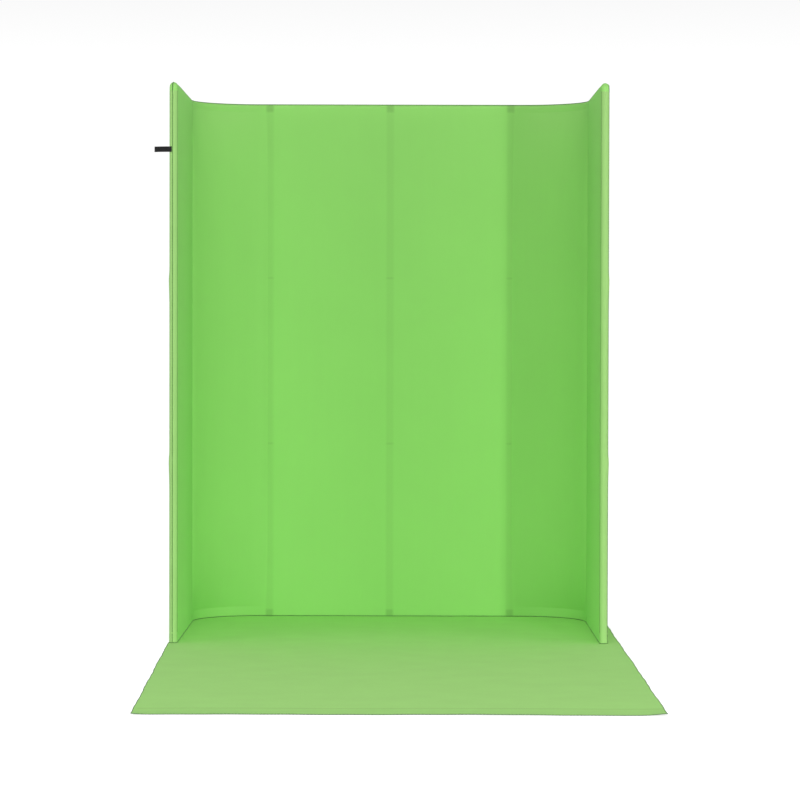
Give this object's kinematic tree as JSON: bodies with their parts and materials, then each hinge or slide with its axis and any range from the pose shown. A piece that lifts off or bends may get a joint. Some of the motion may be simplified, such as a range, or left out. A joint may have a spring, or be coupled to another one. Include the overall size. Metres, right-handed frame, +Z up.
{
  "type": "collapsible backdrop panel",
  "caption": "Free-standing U-shaped green-screen backdrop: a knock-down aluminium tube frame in a stretched fabric cover, with a floor mat running out in front.",
  "frame": {"origin": "on the floor, midway between the two front posts", "axes": "+X to the right seen from the open front, +Y to the back wall, +Z up"},
  "size_m": [1.9125, 3.8, 2.3],
  "materials": {
    "tube": "satin anodised tube",
    "fitting": "moulded nylon",
    "spigot": "plain drawn tube",
    "spring": "spring steel strip",
    "button": "plated",
    "grip_tape": "hook tape",
    "cover": "stretch knit, matt",
    "hem": "folded and stitched knit",
    "label": "woven ribbon, plain",
    "mat": "brushed knit, matt"
  },
  "bodies": {
    "base": {"base_rail_side_left": "tube", "base_rail_side_right": "tube", "base_rail_corner_left": "tube", "base_rail_corner_right": "tube", "base_rail_back_left": "tube", "base_rail_back_right": "tube", "base_elbows": "fitting", "base_tees": "fitting", "grip_tape": "grip_tape"},
    "uprights": {"post_front_left_lower": "tube", "post_front_left_middle": "tube", "post_front_left_upper": "tube", "post_side_left_lower": "tube", "post_side_left_middle": "tube", "post_side_left_upper": "tube", "post_back_left_lower": "tube", "post_back_left_middle": "tube", "post_back_left_upper": "tube", "post_back_centre_lower": "tube", "post_back_centre_middle": "tube", "post_back_centre_upper": "tube", "post_back_right_lower": "tube", "post_back_right_middle": "tube", "post_back_right_upper": "tube", "post_side_right_lower": "tube", "post_side_right_middle": "tube", "post_side_right_upper": "tube", "post_front_right_lower": "tube", "post_front_right_middle": "tube", "post_front_right_upper": "tube", "post_spigots": "spigot", "button_springs": "spring"},
    "top_rail": {"top_rail_side_left": "tube", "top_rail_side_right": "tube", "top_rail_corner_left": "tube", "top_rail_corner_right": "tube", "top_rail_back_left": "tube", "top_rail_back_right": "tube", "top_elbows": "fitting", "top_tees": "fitting", "cover_top": "cover", "cover_front": "cover", "cover_back": "cover"},
    "hem": {"cover_hem": "hem"},
    "label": {"side_label": "label"},
    "mat": {"floor_mat": "mat"},
    "button_front_left_low": {"button_front_left_low": "button"},
    "button_front_left_high": {"button_front_left_high": "button"},
    "button_side_left_low": {"button_side_left_low": "button"},
    "button_side_left_high": {"button_side_left_high": "button"},
    "button_back_left_low": {"button_back_left_low": "button"},
    "button_back_left_high": {"button_back_left_high": "button"},
    "button_back_centre_low": {"button_back_centre_low": "button"},
    "button_back_centre_high": {"button_back_centre_high": "button"},
    "button_back_right_low": {"button_back_right_low": "button"},
    "button_back_right_high": {"button_back_right_high": "button"},
    "button_side_right_low": {"button_side_right_low": "button"},
    "button_side_right_high": {"button_side_right_high": "button"},
    "button_front_right_low": {"button_front_right_low": "button"},
    "button_front_right_high": {"button_front_right_high": "button"}
  },
  "joints": [
    {"name": "uprights_pull", "type": "slide", "parent": "base", "child": "uprights", "axis": [0, 0, 1], "range_m": [0, 0.07]},
    {"name": "top_rail_pull", "type": "slide", "parent": "uprights", "child": "top_rail", "axis": [0, 0, 1], "range_m": [0, 0.07]},
    {"name": "cover_raise", "type": "slide", "parent": "top_rail", "child": "hem", "axis": [0, 0, 1], "range_m": [0, 1.952], "deforming": ["cover_front", "cover_back"]},
    {"name": "label_flap", "type": "hinge", "parent": "top_rail", "child": "label", "pos_m": [-0.89001, -0.0171, 2.024], "axis": [0, 0, 1], "range_deg": [-15, 120]},
    {"name": "mat_pull", "type": "slide", "parent": "base", "child": "mat", "axis": [0, -1, 0], "range_m": [0, 1.35]},
    {"name": "press_front_left_low", "type": "slide", "parent": "uprights", "child": "button_front_left_low", "axis": [1, 0, 0], "range_m": [0, 0.003], "stiffness_N_per_m": 600},
    {"name": "press_front_left_high", "type": "slide", "parent": "uprights", "child": "button_front_left_high", "axis": [1, 0, 0], "range_m": [0, 0.003], "stiffness_N_per_m": 600},
    {"name": "press_side_left_low", "type": "slide", "parent": "uprights", "child": "button_side_left_low", "axis": [1, 0, 0], "range_m": [0, 0.003], "stiffness_N_per_m": 600},
    {"name": "press_side_left_high", "type": "slide", "parent": "uprights", "child": "button_side_left_high", "axis": [1, 0, 0], "range_m": [0, 0.003], "stiffness_N_per_m": 600},
    {"name": "press_back_left_low", "type": "slide", "parent": "uprights", "child": "button_back_left_low", "axis": [0, -1, 0], "range_m": [0, 0.003], "stiffness_N_per_m": 600},
    {"name": "press_back_left_high", "type": "slide", "parent": "uprights", "child": "button_back_left_high", "axis": [0, -1, 0], "range_m": [0, 0.003], "stiffness_N_per_m": 600},
    {"name": "press_back_centre_low", "type": "slide", "parent": "uprights", "child": "button_back_centre_low", "axis": [0, -1, 0], "range_m": [0, 0.003], "stiffness_N_per_m": 600},
    {"name": "press_back_centre_high", "type": "slide", "parent": "uprights", "child": "button_back_centre_high", "axis": [0, -1, 0], "range_m": [0, 0.003], "stiffness_N_per_m": 600},
    {"name": "press_back_right_low", "type": "slide", "parent": "uprights", "child": "button_back_right_low", "axis": [0, -1, 0], "range_m": [0, 0.003], "stiffness_N_per_m": 600},
    {"name": "press_back_right_high", "type": "slide", "parent": "uprights", "child": "button_back_right_high", "axis": [0, -1, 0], "range_m": [0, 0.003], "stiffness_N_per_m": 600},
    {"name": "press_side_right_low", "type": "slide", "parent": "uprights", "child": "button_side_right_low", "axis": [-1, 0, 0], "range_m": [0, 0.003], "stiffness_N_per_m": 600},
    {"name": "press_side_right_high", "type": "slide", "parent": "uprights", "child": "button_side_right_high", "axis": [-1, 0, 0], "range_m": [0, 0.003], "stiffness_N_per_m": 600},
    {"name": "press_front_right_low", "type": "slide", "parent": "uprights", "child": "button_front_right_low", "axis": [-1, 0, 0], "range_m": [0, 0.003], "stiffness_N_per_m": 600},
    {"name": "press_front_right_high", "type": "slide", "parent": "uprights", "child": "button_front_right_high", "axis": [-1, 0, 0], "range_m": [0, 0.003], "stiffness_N_per_m": 600}
  ]
}
